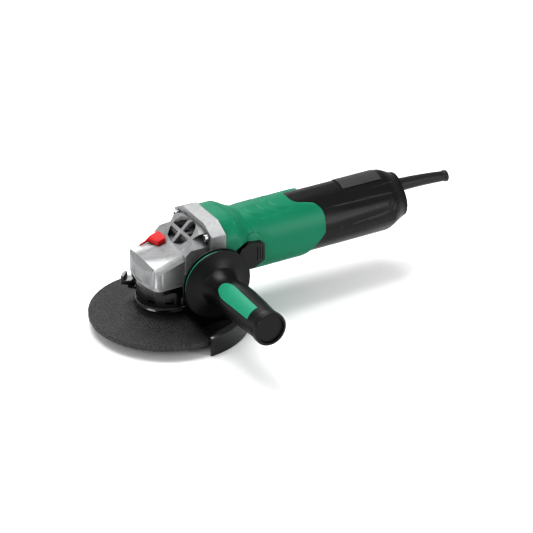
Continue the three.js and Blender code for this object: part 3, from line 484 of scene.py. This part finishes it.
def disc_material():
    """Dark grit with pale specks, over a square weave of glass yarns."""
    material = bpy.data.materials.new("abrasive_grit")
    material.use_nodes = True
    tree = material.node_tree
    shader = tree.nodes["Principled BSDF"]
    place = tree.nodes.new("ShaderNodeTexCoord")
    warp = tree.nodes.new("ShaderNodeTexNoise")
    warp.inputs["Scale"].default_value = 38
    tree.links.new(place.outputs["Object"], warp.inputs["Vector"])
    sway = tree.nodes.new("ShaderNodeVectorMath")
    sway.operation = "MULTIPLY_ADD"
    sway.inputs[1].default_value = (0.002, 0.002, 0.0)
    tree.links.new(warp.outputs["Color"], sway.inputs[0])
    tree.links.new(place.outputs["Object"], sway.inputs[2])
    yarns = []
    for direction in ("X", "Y"):
        yarn = tree.nodes.new("ShaderNodeTexWave")
        yarn.bands_direction = direction
        yarn.inputs["Scale"].default_value = 120
        yarn.inputs["Distortion"].default_value = 0.6
        yarn.inputs["Detail"].default_value = 1
        tree.links.new(sway.outputs[0], yarn.inputs["Vector"])
        yarns.append(yarn.outputs["Fac"])
    weave = math_node(tree, "MULTIPLY", yarns[0], yarns[1])
    grit = tree.nodes.new("ShaderNodeTexNoise")
    grit.inputs["Scale"].default_value = 520
    grit.inputs["Detail"].default_value = 5
    grit.inputs["Roughness"].default_value = 0.75
    tree.links.new(place.outputs["Object"], grit.inputs["Vector"])
    speck = tree.nodes.new("ShaderNodeTexVoronoi")
    speck.inputs["Scale"].default_value = 700
    tree.links.new(place.outputs["Object"], speck.inputs["Vector"])
    ramp = tree.nodes.new("ShaderNodeValToRGB")
    ramp.color_ramp.elements[0].position = 0.36
    ramp.color_ramp.elements[0].color = (0.006, 0.006, 0.0065, 1)
    ramp.color_ramp.elements[1].position = 0.72
    ramp.color_ramp.elements[1].color = (0.10, 0.10, 0.10, 1)
    tree.links.new(grit.outputs["Fac"], ramp.inputs["Fac"])
    woven = blended(tree, weave, ramp.outputs["Color"], (0.05, 0.05, 0.05))
    near = math_node(tree, "LESS_THAN", speck.outputs["Distance"], 0.17)
    pale = math_node(tree, "MULTIPLY", near, 0.35)
    tree.links.new(blended(tree, pale, woven, (0.42, 0.42, 0.42)),
                   shader.inputs["Base Color"])
    shader.inputs["Roughness"].default_value = 0.52
    height = math_node(tree, "MULTIPLY", weave, 0.8)
    summed = math_node(tree, "ADD", height, grit.outputs["Fac"])
    relief = tree.nodes.new("ShaderNodeBump")
    relief.inputs["Strength"].default_value = 1.0
    relief.inputs["Distance"].default_value = 0.0011
    tree.links.new(summed, relief.inputs["Height"])
    tree.links.new(relief.outputs["Normal"], shader.inputs["Normal"])
    return material


def disc_mesh():
    """The disc turned from its section, with a raised hub and a ragged rim."""
    low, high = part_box("grinding_disc")
    radius = high[0]
    top = high[2]
    base = low[2]
    bore = 0.0114
    rim_top = base + 0.0055
    top_run = [(bore, top), (0.020, top), (0.033, top), (0.0365, top - 0.0005),
               (0.0405, top - 0.002), (0.0450, rim_top + 0.0008), (0.0485, rim_top),
               (0.052, rim_top), (0.058, rim_top), (0.065, rim_top), (0.071, rim_top)]
    rim = [(radius - 0.0007, rim_top - 0.0001), (radius - 0.0001, rim_top - 0.001),
           (radius - 0.0001, base + 0.001), (radius - 0.0007, base + 0.0001)]
    under = [(0.064, base), (0.050, base), (0.0455, base), (0.0425, base + 0.0008),
             (0.0375, base + 0.0032), (0.0330, base + 0.0045), (bore, base + 0.0045)]
    section = top_run + rim + under
    around = 288
    form = bmesh.new()
    rings = []
    for step in range(around):
        angle = 2 * math.pi * step / around
        ring = []
        for reach, height in section:
            ragged = 0.0
            if reach > radius - 0.001:
                spot = Vector((math.cos(angle) * 14, math.sin(angle) * 14, height * 300))
                ragged = -0.00035 * abs(noise(spot)) - 0.0001 * abs(noise(spot * 5))
            r = reach + ragged
            ring.append(form.verts.new((r * math.cos(angle), r * math.sin(angle), height)))
        rings.append(ring)
    count = len(section)
    for step in range(around):
        here = rings[step]
        there = rings[(step + 1) % around]
        for i in range(count):
            j = (i + 1) % count
            form.faces.new((here[i], here[j], there[j], there[i]))
    bmesh.ops.recalc_face_normals(form, faces=form.faces)
    mesh = bpy.data.meshes.new("grinding_disc_skin")
    form.to_mesh(mesh)
    form.free()
    disc = bpy.data.objects.new(mesh.name, mesh)
    bpy.context.collection.objects.link(disc)
    finish_mesh(disc, 50)
    return disc


attach(disc_mesh(), "grinding_disc", disc_material())


# ---- Lock slide --------------------------------------------------------------------
# A red moulded slide on top of the head. Pushed forwards, it drops the lock pin.

red_plastic = surface("red_plastic", (0.42, 0.004, 0.005), (0.52, 0.006, 0.006),
                      (0.66, 0.05, 0.05), (0.28, 0.38), 0.12, 900.0, 70.0, 6.0)
attach(softened("lock_slide", 0.5), "lock_slide", red_plastic)


# ---- Motor housing -----------------------------------------------------------------
# One green moulding from the flange to the joint, with a fine spark-eroded texture.
# Hooked thumb steps are moulded into both shoulders, behind a line that flows down.

green_plastic = surface("green_plastic", (0.003, 0.165, 0.090), (0.006, 0.200, 0.112),
                        (0.05, 0.34, 0.21), (0.34, 0.46), 0.35, 1500.0, 35.0, 5.0,
                        specular=0.3)


AXIS_HEIGHT = 61.0
BARREL_RADIUS = 32.75
REAR_RADIUS = 32.2
FLANGE_HALF = 37
FLANGE_CORNER = 58.5
MOTOR_SINK = 0.14
REAR_SINK = 0.12
ARC_MM_PER_DEGREE = 0.57
SKIN_POINTS_AROUND = 420


def smooth(value, low, high):
    """0 below low, 1 above high, and an even curve between."""
    t = min(1.0, max(0.0, (value - low) / (high - low)))
    return t * t * (3 - 2 * t)


def octagon_radius(turn, half_width, half_height, corner, power):
    """The reach of a soft eight-sided section at an angle from its middle."""
    c = abs(math.cos(turn))
    s = abs(math.sin(turn))
    sides = (c / half_width) ** power + (s / half_height) ** power
    return (sides + ((c + s) / corner) ** power) ** (-1 / power)


def thumb_steps(x, rise):
    """Depth of the three hooked steps on each shoulder, in millimetres."""
    depth = 0.0
    for start, top, low in ((80, 82, 50), (94, 84, 50), (108, 84, 52)):
        if x < start - 1 or x > start + 20:
            continue
        line = low + (top - low) * math.exp(-max(0.0, x - start) / 4.6)
        over = (rise - line) * ARC_MM_PER_DEGREE
        edge = smooth(over, 0.0, 0.5) * (1 - smooth(over, 1.0, 6.5))
        ends = smooth(x, start, start + 2) * (1 - smooth(x, start + 11, start + 20))
        depth = max(depth, 0.75 * edge * ends)
    return depth


def motor_depth(x, turn):
    """How far the motor housing's skin is sunk, in millimetres, at x and an angle."""
    rise = math.degrees(math.asin(math.sin(turn)))
    side = -math.cos(turn)
    depth = thumb_steps(x, rise)
    flow = 72.5 + 10.5 * (1 - smooth(rise, 8, 78))
    if rise > 5:
        fall = smooth(x, flow, flow + 0.9) * (1 - smooth(x, flow + 1, flow + 15))
        depth = max(depth, 0.75 * fall * smooth(rise, 5, 20))
    if side > 0:
        reach = math.hypot((x - 79) / 8.5, (rise - 25) / 9.0)
        depth = max(depth, 0.9 * (1 - smooth(reach, 0.82, 1.0)) * smooth(rise, 18, 26))
    return depth


def motor_radius(x, turn):
    """The motor housing's skin: a soft octagon at the flange that flows to a barrel."""
    flange = octagon_radius(turn, FLANGE_HALF, FLANGE_HALF, FLANGE_CORNER, 16)
    mix = smooth(x, 58, 76)
    return flange + (BARREL_RADIUS - flange) * mix - MOTOR_SINK - motor_depth(x, turn)


def skinned(node, width, radius_at, start, end, step):
    """A softened CAD copy whose outside is planed to a dense flowing skin."""
    piece = softened(node, width)
    form = bmesh.new()
    rings = []
    count = round((end - start) / step)
    around = SKIN_POINTS_AROUND
    for i in range(count + 1):
        x = start + (end - start) * i / count
        ring = []
        for j in range(around):
            turn = 2 * math.pi * j / around
            reach = radius_at(x, turn)
            ring.append(form.verts.new((x / 1000, reach * math.cos(turn) / 1000,
                                        (AXIS_HEIGHT + reach * math.sin(turn)) / 1000)))
        rings.append(ring)
    for near, far in zip(rings, rings[1:]):
        for j in range(around):
            k = (j + 1) % around
            form.faces.new((near[j], near[k], far[k], far[j]))
    form.faces.new(rings[0])
    form.faces.new(list(reversed(rings[-1])))
    bmesh.ops.recalc_face_normals(form, faces=form.faces)
    carved(piece, piece_from(form, "skin_form"), "INTERSECT")
    finish_mesh(piece, 30)
    return piece


attach(skinned("motor_housing", 0.6, motor_radius, 44, 166, 0.5), "motor_housing",
       green_plastic)


# ---- Rear housing, switch and rating plate -----------------------------------------
# Glass-filled black plastic, finely textured, with recessed panels at the sides.
# The slider and the plate are smoother, and the plate carries no print.

black_plastic = surface("black_plastic", (0.005, 0.005, 0.0053), (0.009, 0.009, 0.0095),
                        (0.035, 0.035, 0.036), (0.30, 0.42), 0.35, 1400.0, 40.0, 5.0,
                        specular=0.32)
smooth_black = surface("smooth_black", (0.008, 0.008, 0.0085), (0.013, 0.013, 0.0135),
                       (0.045, 0.045, 0.045), (0.26, 0.36), 0.15, 1800.0, 50.0, 5.0,
                       specular=0.35)
label_film = surface("label_film", (0.030, 0.030, 0.032), (0.036, 0.036, 0.038),
                     (0.05, 0.05, 0.05), (0.42, 0.5), 0.05, 1800.0, 50.0, 0.0)


def rear_depth(x, turn):
    """The shallow panel on each side of the rear housing, in millimetres."""
    rise = math.degrees(math.asin(math.sin(turn)))
    top = 42 - 3 * (x - 172.8) / 72
    bottom = -1 + 7 * (x - 184) / 47.7
    back = 231.7 + 13.1 * (rise - 6) / 33
    inside = min((top - rise) * 0.56, (rise - bottom) * 0.56, back - x)
    fade = smooth(x, 158, 196)
    return 0.6 * fade * smooth(inside, 0.0, 0.6) * (1 - 0.75 * smooth(inside, 2.0, 9.0))


def rear_radius(x, turn):
    """The rear housing's skin: round, then drawn in to a soft octagon at the end."""
    size = REAR_RADIUS - 6.5 * smooth(x, 236, 254)
    skin = octagon_radius(turn, size, size, 1.3 * size, 9)
    return skin - REAR_SINK - rear_depth(x, turn)


attach(skinned("rear_housing", 0.7, rear_radius, 125, 255, 0.65), "rear_housing",
       black_plastic)
attach(softened("switch_slider", 0.5), "switch_slider", smooth_black)
attach(softened("rating_plate", 0.1), "rating_plate", label_film)
for node in ("switch_rod", "switch_module", "cord_clamp", "air_baffle", "fan"):
    nodes[node].data.materials.clear()
    nodes[node].data.materials.append(black_plastic)


# ---- Cable sleeve ------------------------------------------------------------------
# A moulded rubber strain relief that tapers towards the lead and ends in a lip.

soft_rubber = surface("soft_rubber", (0.009, 0.009, 0.009), (0.014, 0.014, 0.014),
                      (0.03, 0.03, 0.03), (0.36, 0.46), 0.12, 1100.0, 60.0, 4.0)
attach(softened("cable_sleeve", 0.4), "cable_sleeve", soft_rubber)


# ---- Side handle -------------------------------------------------------------------
# A black grip with a guard flange, two soft green inlays and a green damping ring.
# It screws into the head on a steel stud, against a dished black plate.

green_soft = surface("green_soft", (0.010, 0.235, 0.135), (0.014, 0.275, 0.165),
                     (0.05, 0.36, 0.23), (0.46, 0.58), 0.20, 1300.0, 50.0, 4.0)
for node, width in (("handle_body", 0.5), ("handle_plate", 0.5)):
    attach(softened(node, width), node, black_plastic)
attach(softened("handle_damper", 0.3), "handle_damper", green_soft)
for node in ("handle_inlay_upper", "handle_inlay_lower"):
    attach(softened(node, 0.25), node, green_soft)


# ---- Motor internals ---------------------------------------------------------------
# Copper windings, stacked laminations, brass brush tubes and carbon brushes.
# They are hidden in the closed tool, and keep the shapes that the motor needs.

internals = {
    "copper": surface("copper", (0.50, 0.20, 0.09), (0.66, 0.30, 0.15),
                      (0.85, 0.50, 0.30), (0.22, 0.34), 0.3, 1600.0, metallic=1.0),
    "brass": surface("brass", (0.55, 0.40, 0.16), (0.66, 0.50, 0.22),
                     (0.85, 0.70, 0.40), (0.22, 0.34), 0.1, 1600.0, metallic=1.0),
    "carbon": surface("carbon", (0.020, 0.020, 0.022), (0.035, 0.035, 0.038),
                      (0.08, 0.08, 0.08), (0.6, 0.75), 0.3, 1200.0),
    "lamination": surface("lamination", (0.20, 0.205, 0.21), (0.30, 0.31, 0.32),
                          (0.5, 0.5, 0.5), (0.35, 0.5), 0.4, 2600.0, metallic=0.9),
    "resin": surface("resin", (0.02, 0.12, 0.09), (0.03, 0.17, 0.13),
                     (0.08, 0.22, 0.18), (0.25, 0.4), 0.1, 500.0),
}
for node in nodes:
    if slot_of(node) in internals:
        nodes[node].data.materials.clear()
        nodes[node].data.materials.append(internals[slot_of(node)])
